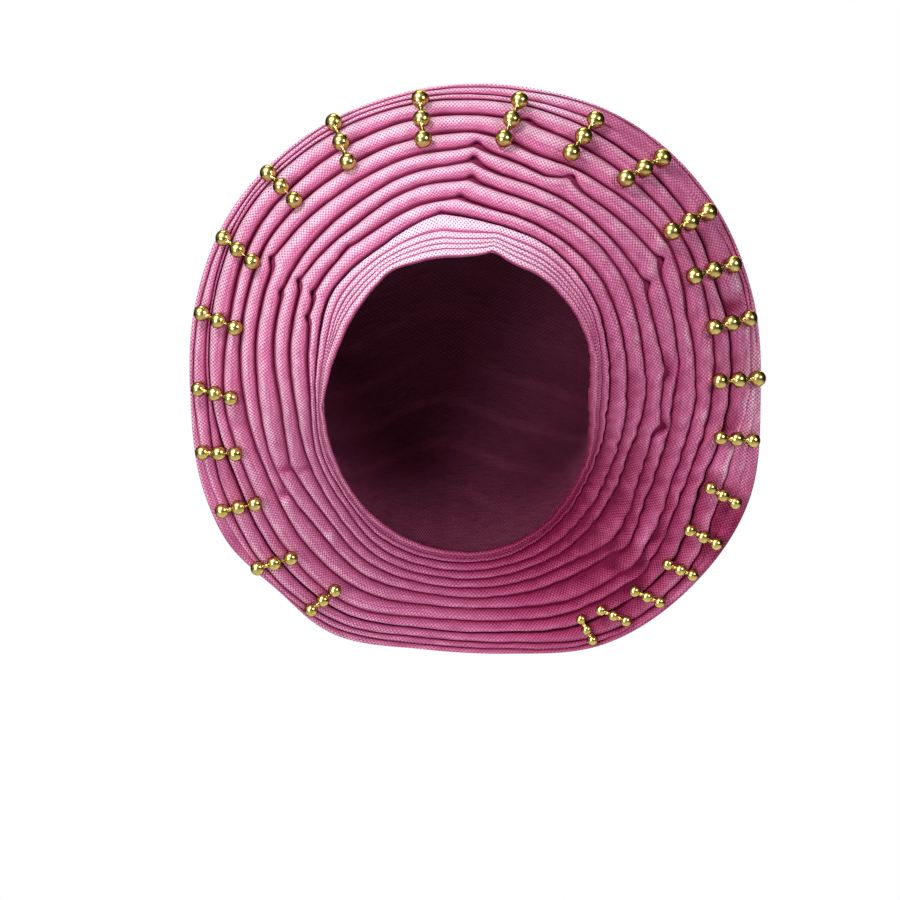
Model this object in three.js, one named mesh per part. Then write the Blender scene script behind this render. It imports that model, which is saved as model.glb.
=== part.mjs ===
// A tied gele: a stiff woven cloth pleated round the face, wrapped over the crown, knotted at the nape
// and sewn with gold beads in threes. Millimetres, +Z up, the face looks along -Y.
// The origin is the seat on the crown of the head, inside the wrap.
// Every fold is a closed loop round the face centre. Its place at a clock angle is a radius seen from the
// front and a depth along +Y: angle 0 is the top and positive angles turn to the viewer's right.
import * as THREE from "three";

// Driving dimensions.
const FACE_DROP = 116; // the face centre lies this far below the seat
const CLOTH = 1.2; // one layer of cloth
const BAND_WALL = 2.6; // the stacked narrow pleats of the face band and the border
const NARROW_STEP = 1.2; // how far one narrow pleat stands proud of the next
const FOLD_DEPTH = 8; // the deepest a wide pleat is folded
const DEPTH_PER_PITCH = 0.8; // a pleat that is squeezed is folded less deep
const TUCK = 0.14; // how far a pleat starts under its inner neighbour, per pitch
const SHOULDER = { across: 0.36, down: 0.3 }; // where a pleat rounds over, per pitch and per depth
const FAN_BULGE = 8; // the fan swells this far towards the viewer at the top
const NAPE_BULGE = 1;
const NARROW_PLEATS = 5;
const GAP = 0.3; // between pieces that touch
const STATION_STEP = 8; // degrees between the loop's stations
const FIRST_STATION = 2; // a station lies on the crest of the pleats, just right of the top

// The tables' columns, round the face from low on the viewer's left over the top to low on the right.
// L is left of the top, R right of it, and the number is the clock angle in degrees.
const CLOCK = [
  "L170", "L150", "L130", "L110", "L90", "L70", "L50", "L30", "L10",
  "R10", "R30", "R50", "R70", "R90", "R110", "R130", "R150", "R170",
];
const CLOCK_START = -170;
const CLOCK_STEP = 360 / CLOCK.length;
const NAPE = 180;

// Radius of each fold's outer edge seen from the front, from the face to the rim, one value per column.
const FOLDS = {
  face_edge: [
    79, 77.5, 75.5, 73.5, 71.5, 69.8, 71, 73.8, 73, 74.3, 73, 71, 67.5, 63.4, 67.6, 72.3, 77, 79],
  band_edge: [
    84.8, 84, 80, 78.3, 76.2, 79.3, 86.5, 87.8, 92.6, 89.6, 87.7, 83, 76.9, 73.3, 73.5, 77.5, 82, 84.8],
  pleat_1: [
    89, 88.5, 83, 81.2, 78.8, 84, 93.5, 96.5, 100.4, 96.5, 94.2, 91, 85.5, 82.2, 82.6, 85.5, 88.5, 89.3],
  pleat_2: [
    93.3, 93.3, 88.2, 86.3, 86.9, 93.8, 102.2, 104.9, 110.4,
    106.3, 104.4, 101.7, 94.6, 91.6, 88.9, 91.8, 94, 93.8],
  pleat_3: [
    98, 98.6, 94, 95, 94.2, 102.8, 109.8, 113.1, 118.4,
    114.5, 112.1, 108.5, 103.1, 100.2, 97.7, 103.8, 100.8, 98.7],
  pleat_4: [
    103, 105, 101.5, 104, 105.2, 112.2, 120, 122.9, 126.6,
    123.3, 120.6, 119.6, 112.7, 106.7, 105.2, 111, 107.2, 104.3],
  pleat_5: [
    109, 113, 111.2, 108.7, 113, 120.6, 129, 132, 135.6,
    133, 130, 130, 121.9, 117.7, 114.4, 121, 118.3, 110.5],
  pleat_6: [
    115.5, 122.7, 121, 118.7, 123.5, 127.5, 137.4, 142, 145.5,
    144.5, 141.2, 139, 132.6, 126, 121.5, 127, 125, 117.5],
  pleat_7: [
    121.5, 128, 127.2, 125, 130.2, 138, 147.8, 152.3, 154,
    154, 151.5, 148, 141.5, 135.5, 130.2, 137, 137, 124],
  border_1: [
    126.5, 133.8, 135.5, 133.5, 132.5, 139.3, 149.8, 154.3, 156.8,
    156.8, 158, 157.3, 153.8, 144.6, 141, 146.3, 142, 129],
  border_2: [
    130, 137, 138.5, 139, 139.5, 145, 152, 157.3, 159.5,
    161.5, 165, 162, 155.8, 150.3, 148.5, 149.8, 145, 132.5],
  rim: [
    133, 141, 141.5, 143.5, 142, 148, 155.5, 159, 161.5,
    164, 166.5, 164, 158, 153, 156.5, 153, 147.5, 135.5],
};
const PLEATS = ["band_edge", "pleat_1", "pleat_2", "pleat_3", "pleat_4", "pleat_5", "pleat_6", "pleat_7"];

// Depth along +Y of the face edge and the rim, and how far the wrap swells from its axis, one value per column.
const SECTIONS = {
  face_depth: [76, 62, 33, -2, -38, -58, -71, -79, -83, -83, -79, -71, -58, -38, -2, 33, 62, 76],
  rim_depth: [88, 68, 42, 20, 4, -5, -10, -14, -16, -16, -14, -10, -5, 4, 20, 42, 68, 88],
  crown_swell: [57, 62, 70, 77, 80, 85.5, 90, 93, 95, 95, 93, 88.5, 83.5, 76, 73, 69, 62, 57],
};

// The wrap closes at a point on the back of the head.
const CROWN_POLE = { x: -3, depth: 103, up: 21 }; // up is above the face centre
const CROWN_STEPS = 6;
const CROWN_RISE = 0.8; // share of the swell that the front of a rib aims at
const CROWN_REACH = 0.13; // how far back that aim lies, per length of the rib
const CROWN_INSET = 1.6; // the wrap starts this far outside the face edge

// The knot is a rounded lump that sits on the gathered pleats at the nape.
const KNOT = { width: 52, height: 30, thick: 20, sides: 16, rings: 8, radius: 106 };

// Bead rows: angle and radius of the outer and the inner bead seen from the front, and the beads' diameter.
const BEAD_COLUMNS = ["outer_angle", "outer_radius", "inner_angle", "inner_radius", "bead"];
const BEAD_ROWS = [
  [-143.7, 136, -145.6, 120.5, 7.0], [-129, 139, -132.2, 122.5, 7.5], [-114.5, 138.5, -116.3, 121.5, 7.6],
  [-101.3, 138.5, -103.2, 122, 7.7], [-87.7, 138, -89.6, 121, 7.8], [-71.8, 143.5, -72.7, 124.5, 8.2],
  [-56.2, 150.5, -57.1, 131, 8.3], [-41, 155.5, -40.6, 135.5, 8.5], [-25.3, 159, -26.3, 136.5, 8.9],
  [-8.5, 157.5, -9.2, 136, 9.1], [10.3, 157.5, 8.5, 136, 9.1], [25, 160, 23.3, 138.5, 9.1],
  [39.2, 161.5, 36.1, 141, 9.3], [52.3, 159, 50.9, 137.5, 9.3], [63.2, 155.5, 61.7, 134.5, 9.0],
  [74, 153, 73.8, 134, 8.6], [85.8, 152, 85.8, 132, 8.3], [98, 150.5, 98.4, 133.5, 7.5],
  [110.8, 150, 109.7, 135, 6.8], [119.7, 150.5, 120, 135, 6.8], [127.5, 149.5, 128.9, 136, 6.3],
  [136, 146.5, 138.3, 133.5, 6.1], [143.8, 143, 147, 131, 5.8], [151.9, 142.5, 152, 130, 5.4],
];
const BEAD_SIDES = 10;
const BEAD_RINGS = 3; // between the poles of one bead
const THREAD_RADIUS = 0.9;
const LOOSEST_SEAT = 14; // the seat search starts with the row this far in front of the cloth
const SEAT_STEP = 0.05;
const BEAD_SLICES = [-0.7, -0.35, 0, 0.35, 0.7]; // slices of a bead that the seat is tried at, per radius

// Materials.
const cloth = new THREE.MeshStandardMaterial({ color: 0xc9699b, roughness: 0.62, metalness: 0 });
const gold = new THREE.MeshStandardMaterial({ color: 0xc9a33a, roughness: 0.22, metalness: 1 });

// Value of a table row at any clock angle: a cubic through its columns that closes on itself.
function rowAt(row, angle) {
  const place = (angle - CLOCK_START) / CLOCK_STEP;
  const first = Math.floor(place);
  const t = place - first;
  const [a, b, c, d] = [-1, 0, 1, 2].map((k) => row[(((first + k) % row.length) + row.length) % row.length]);
  return b + 0.5 * t * (c - a + t * (2 * a - 5 * b + 4 * c - d + t * (3 * (b - c) + d - a)));
}

const radiusOf = (fold, angle) => rowAt(FOLDS[fold], angle);

// Depth of the smooth surface that the pleats' crests touch, at a clock angle and radius.
function crestDepth(angle, radius) {
  const inner = radiusOf("face_edge", angle);
  const t = (radius - inner) / (radiusOf("rim", angle) - inner);
  const front = rowAt(SECTIONS.face_depth, angle);
  const share = 0.5 + 0.5 * Math.cos(THREE.MathUtils.degToRad(angle));
  const bulge = NAPE_BULGE + (FAN_BULGE - NAPE_BULGE) * share;
  return front + (rowAt(SECTIONS.rim_depth, angle) - front) * t - 4 * bulge * t * (1 - t);
}

// A section point: a radius and how far it lies behind the crests.
const behind = (angle, radius, drop) => [radius, crestDepth(angle, radius) + drop];

function pointAt(angle, [radius, depth]) {
  const a = THREE.MathUtils.degToRad(angle);
  return new THREE.Vector3(radius * Math.sin(a), depth, radius * Math.cos(a) - FACE_DROP);
}

// The line one wall thickness behind a section line that runs outwards.
function backOf(line, wall) {
  const normals = line.slice(1).map(([r, y], k) => {
    const [dr, dy] = [r - line[k][0], y - line[k][1]];
    const length = Math.hypot(dr, dy);
    return [-dy / length, dr / length];
  });
  return line.map(([r, y], k) => {
    const a = normals[Math.max(k - 1, 0)];
    const b = normals[Math.min(k, normals.length - 1)];
    const sum = [a[0] + b[0], a[1] + b[1]];
    const reach = (2 * wall) / (sum[0] ** 2 + sum[1] ** 2);
    return [r + sum[0] * reach, y + sum[1] * reach];
  });
}

const pleatDepth = (pitch) => Math.min(FOLD_DEPTH, DEPTH_PER_PITCH * pitch);

// Front line of the wide pleats: each starts deep under its inner neighbour, rounds over and ends in a crest.
function fanLine(angle) {
  const line = [];
  PLEATS.slice(1).forEach((name, k) => {
    const start = radiusOf(PLEATS[k], angle);
    const crest = radiusOf(name, angle);
    const pitch = crest - start;
    const depth = pleatDepth(pitch);
    const tuck = k === 0 ? -GAP : TUCK * pitch;
    line.push(behind(angle, start - tuck, depth));
    line.push(behind(angle, start + SHOULDER.across * pitch, SHOULDER.down * depth));
    line.push(behind(angle, crest, 0));
  });
  const last = radiusOf("pleat_7", angle);
  line.push(behind(angle, last, pleatDepth(last - radiusOf("pleat_6", angle))));
  return line;
}

function fanSection(angle) {
  const line = fanLine(angle);
  return [...line, ...backOf(line, CLOTH).reverse()];
}

// The face band: narrow pleats in steps on a plain back, with the last one turned under.
function bandSection(angle) {
  const inner = radiusOf("face_edge", angle);
  const outer = radiusOf("band_edge", angle);
  const pitch = (outer - inner) / NARROW_PLEATS;
  const turned = pleatDepth(radiusOf("pleat_1", angle) - outer);
  const line = [behind(angle, inner, NARROW_STEP)];
  for (let k = 1; k <= NARROW_PLEATS; k += 1) {
    line.push(behind(angle, inner + pitch * k, 0));
    if (k < NARROW_PLEATS) line.push(behind(angle, inner + pitch * k, NARROW_STEP));
  }
  line.push(behind(angle, outer, turned + CLOTH), behind(angle, outer - CLOTH, turned + CLOTH));
  line.push(behind(angle, outer - CLOTH, BAND_WALL), behind(angle, inner, BAND_WALL));
  return line;
}

// The border: two narrow folds that widen to the right, and the rim.
function borderSection(angle) {
  const start = radiusOf("pleat_7", angle) + GAP;
  const first = radiusOf("border_1", angle);
  const second = radiusOf("border_2", angle);
  const rim = radiusOf("rim", angle);
  return [
    behind(angle, start, NARROW_STEP), behind(angle, first, 0), behind(angle, first, NARROW_STEP),
    behind(angle, second, 0), behind(angle, second, NARROW_STEP), behind(angle, rim, 0),
    behind(angle, rim, BAND_WALL), behind(angle, start, BAND_WALL),
  ];
}

const stationAngles = [];
for (let a = FIRST_STATION - 180; a < FIRST_STATION + 180; a += STATION_STEP) stationAngles.push(a);

// A closed solid from rings of points: each ring has the same number of points.
function ringSolid(rings, name) {
  const size = rings[0].length;
  const index = [];
  rings.forEach((ring, i) => {
    const next = (i + 1) % rings.length;
    ring.forEach((_, k) => {
      const [a, b] = [i * size + k, i * size + ((k + 1) % size)];
      const [c, d] = [next * size + k, next * size + ((k + 1) % size)];
      index.push(a, c, b, b, c, d);
    });
  });
  const geometry = new THREE.BufferGeometry().setFromPoints(rings.flat());
  geometry.setIndex(index);
  geometry.computeVertexNormals();
  const mesh = new THREE.Mesh(geometry, cloth);
  mesh.name = name;
  return mesh;
}

const loopSolid = (section, name) =>
  ringSolid(stationAngles.map((a) => section(a).map((p) => pointAt(a, p))), name);

// One rib of the wrap at a clock angle: a curve from behind the face band to the back of the head.
// In the rib's plane a point is its distance from the wrap's axis and its depth.
function crownRib(angle) {
  const inner = radiusOf("face_edge", angle) + CROWN_INSET;
  const start = pointAt(angle, behind(angle, inner, BAND_WALL + GAP));
  const axisHeight = CROWN_POLE.up - FACE_DROP;
  const away = new THREE.Vector2(start.x - CROWN_POLE.x, start.z - axisHeight);
  const from = away.length();
  const swell = rowAt(SECTIONS.crown_swell, angle);
  const rise = from + CROWN_RISE * (swell - from);
  const over = ((swell - from / 8) * 8) / 3 - rise;
  const reach = CROWN_REACH * (CROWN_POLE.depth - start.y);
  // Where a rib runs inwards its inside faces the band, so the whole rib starts a wall further back.
  start.y += CLOTH * Math.max(0, (from - rise) / Math.hypot(from - rise, reach));
  const curve = new THREE.CubicBezierCurve(
    new THREE.Vector2(from, start.y), new THREE.Vector2(rise, start.y + reach),
    new THREE.Vector2(over, CROWN_POLE.depth), new THREE.Vector2(0, CROWN_POLE.depth),
  );
  const line = curve.getPoints(CROWN_STEPS);
  const inside = backOf(line.map((p) => [p.x, p.y]), CLOTH);
  const place = ([distance, depth]) => new THREE.Vector3(
    CROWN_POLE.x + (away.x / from) * distance, depth, axisHeight + (away.y / from) * distance,
  );
  return { outer: line.map((p) => place([p.x, p.y])), inner: inside.map(place) };
}

// The wrap: ribs all round, one wall thick, closed to a point inside and outside at the back.
function crownWrap() {
  const ribs = stationAngles.map(crownRib);
  const points = [];
  const index = [];
  const row = (k) => k * ribs.length;
  for (let k = 0; k < CROWN_STEPS; k += 1) points.push(...ribs.map((rib) => rib.outer[k]));
  for (let k = CROWN_STEPS - 1; k >= 0; k -= 1) points.push(...ribs.map((rib) => rib.inner[k]));
  const axisHeight = CROWN_POLE.up - FACE_DROP;
  const outerPole = points.push(new THREE.Vector3(CROWN_POLE.x, CROWN_POLE.depth, axisHeight)) - 1;
  const innerPole = points.push(new THREE.Vector3(CROWN_POLE.x, CROWN_POLE.depth - CLOTH, axisHeight)) - 1;
  const rows = 2 * CROWN_STEPS;
  ribs.forEach((_, i) => {
    const next = (i + 1) % ribs.length;
    for (let k = 0; k < rows; k += 1) {
      const after = (k + 1) % rows;
      if (k === CROWN_STEPS - 1) {
        index.push(row(k) + i, row(k) + next, outerPole);
        index.push(row(after) + i, innerPole, row(after) + next);
      } else {
        index.push(row(k) + i, row(k) + next, row(after) + i);
        index.push(row(after) + i, row(k) + next, row(after) + next);
      }
    }
  });
  const geometry = new THREE.BufferGeometry().setFromPoints(points);
  geometry.setIndex(index);
  geometry.computeVertexNormals();
  const mesh = new THREE.Mesh(geometry, cloth);
  mesh.name = "crown_wrap";
  return mesh;
}

// The knot lies against the back of the gathered pleats: its round front meets the nearest of them.
function napeKnot() {
  const half = KNOT.height / 2;
  const backs = fanSection(NAPE).filter(([r]) => Math.abs(r - KNOT.radius) < half);
  const reach = ([r, depth]) => depth + (KNOT.thick / 2) * Math.sqrt(1 - ((r - KNOT.radius) / half) ** 2);
  const centre = Math.max(...backs.map(reach)) + GAP;
  const mesh = new THREE.Mesh(new THREE.SphereGeometry(0.5, KNOT.sides, KNOT.rings), cloth);
  mesh.scale.set(KNOT.width, KNOT.thick, KNOT.height);
  mesh.position.set(0, centre, -KNOT.radius - FACE_DROP);
  mesh.name = "nape_knot";
  return mesh;
}

// Front lines of the pleats and the border at any angle, straight between two stations as the solids are.
function frontAt(angle) {
  const place = (angle - stationAngles[0]) / STATION_STEP;
  const low = stationAngles[0] + Math.floor(place) * STATION_STEP;
  const share = place - Math.floor(place);
  const between = (section) => {
    const [a, b] = [section(low), section(low + STATION_STEP)];
    return a.map((p, k) => {
      const q = pointAt(low, p).lerp(pointAt(low + STATION_STEP, b[k]), share);
      return new THREE.Vector2(Math.hypot(q.x, q.z + FACE_DROP), q.y);
    });
  };
  return [between(fanLine), between(borderSection)];
}

function distanceTo(lines, point) {
  let best = Infinity;
  for (const line of lines) {
    for (let k = 1; k < line.length; k += 1) {
      const along = new THREE.Vector2().subVectors(line[k], line[k - 1]);
      const from = new THREE.Vector2().subVectors(point, line[k - 1]);
      const t = THREE.MathUtils.clamp(from.dot(along) / along.lengthSq(), 0, 1);
      best = Math.min(best, from.addScaledVector(along, -t).length());
    }
  }
  return best;
}

// A row of three beads on its thread, turned about its axis, and set down on the crests of the cloth.
function beadRow(values, number) {
  const row = Object.fromEntries(BEAD_COLUMNS.map((name, k) => [name, values[k]]));
  const bead = row.bead / 2;
  const at = (share) => {
    const angle = row.outer_angle + (row.inner_angle - row.outer_angle) * share;
    const radius = row.outer_radius + (row.inner_radius - row.outer_radius) * share;
    return { angle, radius };
  };
  const ends = [at(0), at(1)].map(({ angle, radius }) => crestDepth(angle, radius));
  const probes = [0, 0.25, 0.5, 0.75, 1].flatMap((share) => BEAD_SLICES.map((slice) => {
    const { angle, radius } = at(share);
    const depth = ends[0] + (ends[1] - ends[0]) * share;
    const size = (share * 2) % 1 ? THREAD_RADIUS : bead;
    const turn = THREE.MathUtils.radToDeg((slice * size) / radius);
    return { radius, depth, room: size * Math.sqrt(1 - slice * slice), lines: frontAt(angle + turn) };
  }));
  const clear = (lift) => probes.every(
    (p) => distanceTo(p.lines, new THREE.Vector2(p.radius, p.depth - lift)) > p.room + GAP,
  );
  let lift = LOOSEST_SEAT;
  while (clear(lift - SEAT_STEP)) lift -= SEAT_STEP;
  const [outer, inner] = [0, 1].map((k) => {
    const { angle, radius } = at(k);
    return pointAt(angle, [radius, ends[k] - lift]);
  });
  const span = outer.distanceTo(inner);
  const profile = [new THREE.Vector2(0, -span / 2 - bead)];
  for (let k = 0; k < 3; k += 1) {
    const centre = -span / 2 + (k * span) / 2;
    for (let ring = 1; ring <= BEAD_RINGS; ring += 1) {
      const turn = (ring / (BEAD_RINGS + 1)) * Math.PI;
      profile.push(new THREE.Vector2(bead * Math.sin(turn), centre - bead * Math.cos(turn)));
    }
    if (k < 2) profile.push(new THREE.Vector2(THREAD_RADIUS, centre + span / 4));
  }
  profile.push(new THREE.Vector2(0, span / 2 + bead));
  const mesh = new THREE.Mesh(new THREE.LatheGeometry(profile, BEAD_SIDES), gold);
  mesh.position.copy(outer).lerp(inner, 0.5);
  mesh.quaternion.setFromUnitVectors(new THREE.Vector3(0, 1, 0), outer.clone().sub(inner).normalize());
  mesh.name = `bead_trio_${String(number).padStart(2, "0")}`;
  return mesh;
}

const gele = new THREE.Group();
gele.add(loopSolid(bandSection, "face_band"));
gele.add(loopSolid(fanSection, "pleat_fan"));
gele.add(loopSolid(borderSection, "rim_folds"));
gele.add(crownWrap());
gele.add(napeKnot());
BEAD_ROWS.forEach((values, k) => gele.add(beadRow(values, k + 1)));

export default gele;
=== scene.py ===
# %% [markdown]
# # A tied gele
# A gele is a stiff woven cloth that is pleated round the face, wrapped over the crown and tied at the nape.
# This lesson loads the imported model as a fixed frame, and then makes each piece as a surface worked out with
# numpy, the cloth from the same tables as the model. Lengths are in millimetres and are turned to metres.

# %% Load the frame
import math

import bpy
import numpy as np
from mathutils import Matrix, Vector


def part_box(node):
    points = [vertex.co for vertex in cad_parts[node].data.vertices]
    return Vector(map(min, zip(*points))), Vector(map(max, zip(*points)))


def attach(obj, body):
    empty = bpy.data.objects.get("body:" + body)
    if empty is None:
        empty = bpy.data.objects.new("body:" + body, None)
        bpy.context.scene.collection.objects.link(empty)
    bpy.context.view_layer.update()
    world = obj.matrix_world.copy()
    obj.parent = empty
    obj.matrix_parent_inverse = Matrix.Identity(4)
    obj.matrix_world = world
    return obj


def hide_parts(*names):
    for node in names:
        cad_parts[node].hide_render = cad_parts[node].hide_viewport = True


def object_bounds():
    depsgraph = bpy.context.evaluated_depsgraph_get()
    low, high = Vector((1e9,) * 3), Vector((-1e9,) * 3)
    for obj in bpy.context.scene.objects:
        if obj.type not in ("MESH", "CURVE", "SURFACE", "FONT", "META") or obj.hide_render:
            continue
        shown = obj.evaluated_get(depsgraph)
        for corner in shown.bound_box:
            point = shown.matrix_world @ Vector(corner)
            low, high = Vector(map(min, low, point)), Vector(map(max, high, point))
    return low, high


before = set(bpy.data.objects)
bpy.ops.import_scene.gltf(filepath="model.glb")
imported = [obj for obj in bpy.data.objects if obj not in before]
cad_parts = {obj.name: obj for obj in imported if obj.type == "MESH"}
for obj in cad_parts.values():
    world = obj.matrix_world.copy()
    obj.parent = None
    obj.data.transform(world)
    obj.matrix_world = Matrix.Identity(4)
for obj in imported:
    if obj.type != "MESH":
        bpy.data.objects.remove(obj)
cad_low, cad_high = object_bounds()
MM = 0.001
TURN = 2 * math.pi
print("nodes:", len(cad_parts))

# %% [markdown]
# ## The camera
# The photograph looks straight at the face opening along +Y. A camera could be moved by eye until the
# picture fits. Here its place and its lens are worked out from one known point, that point's pixel and the
# scale. A long lens from four metres keeps near and far folds at nearly one scale, as a product photograph
# does.

# %% Camera
FACE_CENTRE = np.array([0.0, 0.0, -116.0])  # mm, the folds run round this point
IMAGE_SIZE = 900
FACE_PIXEL = np.array([465.0, 400.0])  # where the face centre lies in the picture
MM_PER_PIXEL = 0.5166  # at the depth of the face centre
CAMERA_DISTANCE = 4000.0
SENSOR = 36.0  # mm

camera_data = bpy.data.cameras.new("camera")
camera = bpy.data.objects.new("camera", camera_data)
bpy.context.collection.objects.link(camera)
camera_data.sensor_width = SENSOR
camera_data.lens = SENSOR * CAMERA_DISTANCE / (IMAGE_SIZE * MM_PER_PIXEL)
camera_data.clip_end = 50.0
aim_x = (IMAGE_SIZE / 2 - FACE_PIXEL[0]) * MM_PER_PIXEL
aim_z = FACE_CENTRE[2] - (IMAGE_SIZE / 2 - FACE_PIXEL[1]) * MM_PER_PIXEL
camera.location = (aim_x * MM, -CAMERA_DISTANCE * MM, aim_z * MM)
camera.rotation_euler = (math.pi / 2, 0.0, 0.0)
bpy.context.scene.camera = camera
bpy.context.scene.view_settings.view_transform = "Standard"
print("lens:", round(camera_data.lens, 1), "mm")

# %% [markdown]
# ## Colours and nodes
# A colour is easiest to read as the hex code of a paint program, but a shader works in linear light, so one
# function turns it over. Node trees could be clicked together by hand. Written out, with a short function
# for each step that comes often, they can be read, changed and run again.

# %% Colour and node helpers
SOFT = {"interpolation_type": "SMOOTHSTEP"}


def linear(code):
    """Linear RGBA of an sRGB hex colour."""
    part = [int(code[k:k + 2], 16) / 255 for k in (1, 3, 5)]
    return [p / 12.92 if p <= 0.04045 else ((p + 0.055) / 1.055) ** 2.4 for p in part] + [1.0]


def add(tree, kind, inputs=(), **settings):
    """Adds a node: settings are its properties, inputs pairs of a socket and its value.

    A value is a number, a hex colour, an output of another node, or that node itself for its first output.
    """
    node = tree.nodes.new("ShaderNode" + kind)
    for name, value in settings.items():
        setattr(node, name, value)
    for socket, value in inputs:
        if isinstance(value, bpy.types.Node):
            value = value.outputs[0]
        if isinstance(value, bpy.types.NodeSocket):
            tree.links.new(value, node.inputs[socket])
        else:
            node.inputs[socket].default_value = linear(value) if isinstance(value, str) else value
    return node


def times(tree, one, two):
    """The product of two values."""
    return add(tree, "Math", [(0, one), (1, two)], operation="MULTIPLY")


def ranged(tree, value, limits, **settings):
    """A value taken from low and high, the first two limits, to low and high, the other two or 0 and 1."""
    return add(tree, "MapRange", [("Value", value), *enumerate(limits, 1)], **settings)


def mixed(tree, share, under, over):
    """One colour over another by a share. A colour mix has them at sockets 6 and 7, and its result at 2."""
    return add(tree, "Mix", [(0, share), (6, under), (7, over)], data_type="RGBA").outputs[2]


def new_material(name):
    """An empty node material, and its tree."""
    material = bpy.data.materials.new(name)
    material.use_nodes = True
    material.node_tree.nodes.clear()
    return material, material.node_tree


print("a middle grey is", round(linear("#808080")[0], 3), "in linear light")

# %% [markdown]
# ## The room
# The paper behind the gele is white, but it doesn't light the cloth: the room does, and it is brighter
# towards the upper left, so that the folds have a light and a dark side. A picture of a room could do this.
# A few ranges of the direction are enough: a soft glow for the cloth, and a haze with one bright window for
# the beads to mirror. The light path tells which of them a ray meets.

# %% Room
ROOM_LIGHT = (-0.5, -0.6, 0.62)  # the direction that the bright side of the room lies in
# Ranges of how far a ray looks that way, each from low and high to a strength, low and high.
GLOW, HAZE, WINDOW = (-0.5, 1.0, 0.02, 0.18), (0.2, 0.9, 0.02, 0.4), (0.84, 0.97, 0.0, 3.5)
world = bpy.data.worlds.new("studio")
bpy.context.scene.world = world
world.use_nodes = True
tree = world.node_tree
tree.nodes.clear()
look = add(tree, "TexCoord")
facing = add(tree, "VectorMath", [(0, look.outputs["Generated"]), (1, ROOM_LIGHT)], operation="DOT_PRODUCT")
toward = facing.outputs["Value"]
glow = ranged(tree, toward, GLOW, **SOFT)
haze = ranged(tree, toward, HAZE)
window = ranged(tree, toward, WINDOW, **SOFT)
bright = add(tree, "Math", [(0, haze), (1, window)], operation="ADD")
path = add(tree, "LightPath")
room = add(tree, "Background", [("Color", "#f6eff2"), ("Strength", glow)])
mirrored = add(tree, "Background", [("Color", "#fffaf2"), ("Strength", bright)])
paper = add(tree, "Background", [("Color", "#ffffff"), ("Strength", 1.0)])
around = add(tree, "MixShader", [(0, path.outputs["Is Glossy Ray"]), (1, room), (2, mirrored)])
seen = add(tree, "MixShader", [(0, path.outputs["Is Camera Ray"]), (1, around), (2, paper)])
add(tree, "OutputWorld", [("Surface", seen)])
print("room nodes:", len(tree.nodes))

# %% [markdown]
# ## The floor
# A product stands before a sweep of white paper. A curved backdrop could be modelled, but it would stand in
# the way of other views. A pale matt disc that fades out towards its edge looks the same from every side.

# %% Floor
FLOOR_DROP = 270.0  # mm, a worn wrap stands above its floor
FLOOR_RADIUS, FADE_START, FADE_END = 1600.0, 350.0, 1500.0  # mm
floor_z = cad_low[2] - FLOOR_DROP * MM
bpy.ops.mesh.primitive_circle_add(
    vertices=96, radius=FLOOR_RADIUS * MM, fill_type="NGON", location=(0, 0, floor_z))
floor = bpy.context.object
floor.name = "floor"
floor_paint, tree = new_material("pale_paper_floor")
spot = add(tree, "TexCoord")
reach = add(tree, "VectorMath", [(0, spot.outputs["Object"])], operation="LENGTH")
fade = ranged(tree, reach.outputs["Value"], (FADE_START * MM, FADE_END * MM), **SOFT)
matt = add(tree, "BsdfDiffuse", [("Color", "#fbfafa")])
clear = add(tree, "BsdfTransparent")
blend = add(tree, "MixShader", [(0, fade), (1, matt), (2, clear)])
add(tree, "OutputMaterial", [("Surface", blend)])
floor.data.materials.append(floor_paint)
print("floor at", round(floor_z / MM), "mm")

# %% [markdown]
# ## The lights
# One soft lamp from the upper left shapes the folds, and four weak ones open their shadows. The key could
# be a large area lamp like the rest. It is a spot, because the soft edge of its cone lets the light thin
# out towards the lower right, as it does on the real cloth.

# %% Lights
KEY_PLACE, KEY_AIM = (-560, -1050, 900), (-60, -60, -30)  # mm
KEY_CONE, KEY_SIZE, KEY_POWER = 27.0, 200.0, 80.0  # degrees, mm, watts
# The other lights' place in mm, size in mm and power in watts.
LIGHTS = {
    "left": ((-1100, -1300, -350), 700, 16.5),
    "right": ((1200, -1300, 420), 600, 14.4),
    "back": ((300, 1500, 800), 900, 26.0),
    "crown": ((-200, 500, 1500), 900, 9.0),
}


def place_light(name, data, place, aim):
    """Puts a light at a place, looking at its aim, both in mm."""
    lamp = bpy.data.objects.new(name, data)
    bpy.context.collection.objects.link(lamp)
    lamp.location = Vector(place) * MM
    lamp.rotation_mode = "QUATERNION"
    lamp.rotation_quaternion = (Vector(aim) * MM - lamp.location).to_track_quat("-Z", "Y")


data = bpy.data.lights.new("key", "SPOT")
data.spot_size = math.radians(KEY_CONE)
data.spot_blend = 1.0
data.shadow_soft_size = KEY_SIZE * MM
data.energy = KEY_POWER
data.color = linear("#fdf9fb")[:3]
place_light("key", data, KEY_PLACE, KEY_AIM)
for name, (place, size, power) in LIGHTS.items():
    data = bpy.data.lights.new(name, "AREA")
    data.shape = "DISK"
    data.size = size * MM
    data.energy = power
    place_light(name, data, place, FACE_CENTRE)
print("lights: key,", ", ".join(LIGHTS))

# %% [markdown]
# ## The folds
# Every fold of the gele is a loop round the face. Each could be a curve drawn by hand, but then neighbours
# would cross. The tables give the radius of each fold's outer edge instead, seen from the front, at
# eighteen clock angles, and the depth of the face edge and of the rim. A cubic runs through the columns and
# closes on itself, so that any angle can be asked for. The angle is 0 straight up and grows towards the
# viewer's right.

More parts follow.
